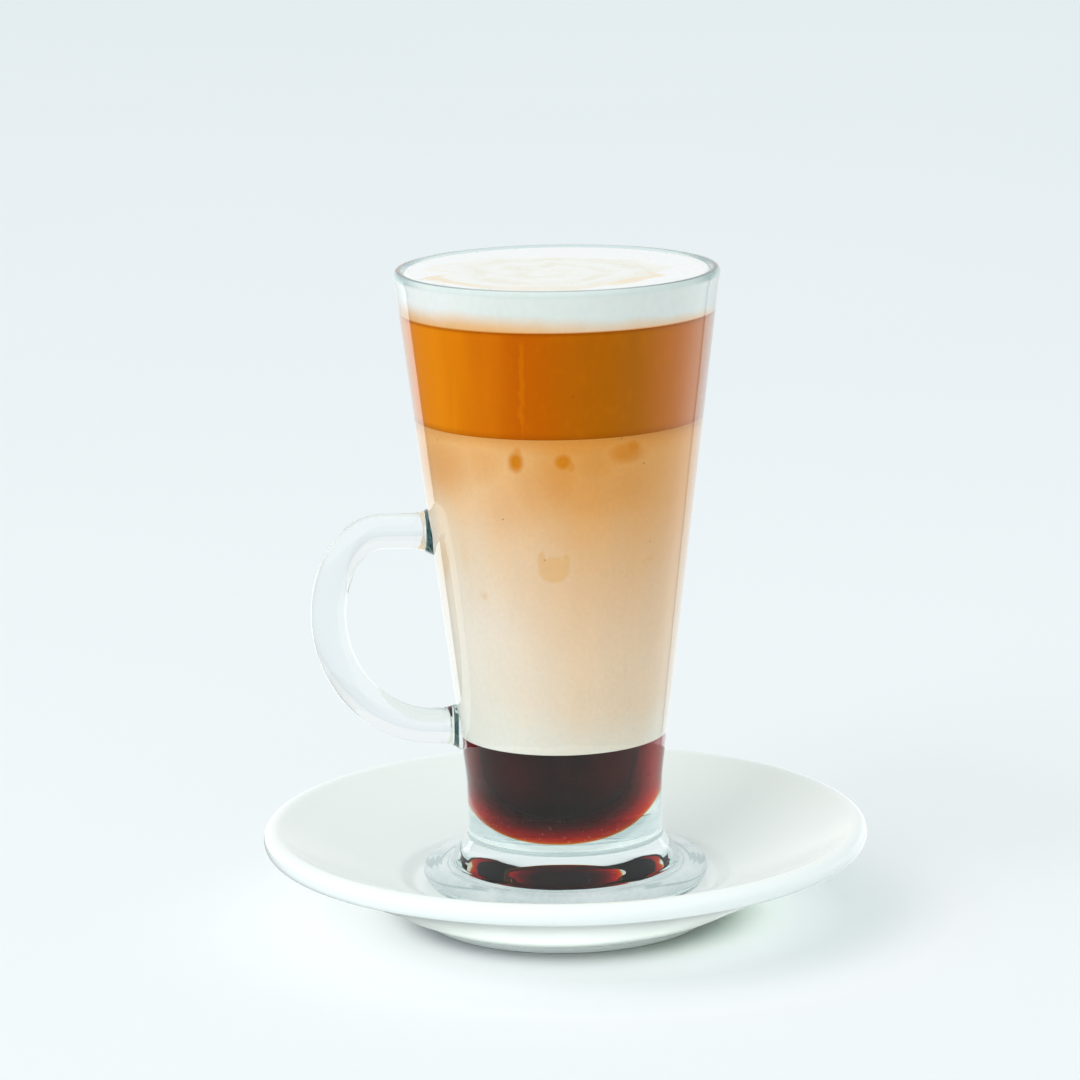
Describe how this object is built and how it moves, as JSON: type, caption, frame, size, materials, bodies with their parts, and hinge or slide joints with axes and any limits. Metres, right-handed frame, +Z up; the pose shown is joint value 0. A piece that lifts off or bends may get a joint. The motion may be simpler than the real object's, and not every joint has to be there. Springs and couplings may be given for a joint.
{
  "type": "caramel macchiato",
  "caption": "Caramel macchiato in a tall clear handled glass on a round saucer: dark syrup, pale milk, amber coffee and white foam in level layers.",
  "frame": {"origin": "on the table, at the centre of the saucer's foot ring and under the glass's own axis", "axes": "+Z up the glass, the handle towards -X, -Y the side that is seen with the handle on its left"},
  "size_m": [0.1486, 0.1486, 0.161],
  "materials": {
    "saucer_glaze": "glossy white glaze",
    "clear_glass": "clear pressed glass, fire polished",
    "syrup": "dark brown liquid, red where thin",
    "milk": "cream liquid, peach towards its top",
    "coffee": "amber liquid",
    "foam": "white milk foam with a beige swirl on top"
  },
  "bodies": {
    "root": {"saucer": "saucer_glaze", "glass": "clear_glass", "syrup_layer": "syrup", "milk_layer": "milk", "coffee_layer": "coffee", "foam_layer": "foam"}
  },
  "joints": []
}
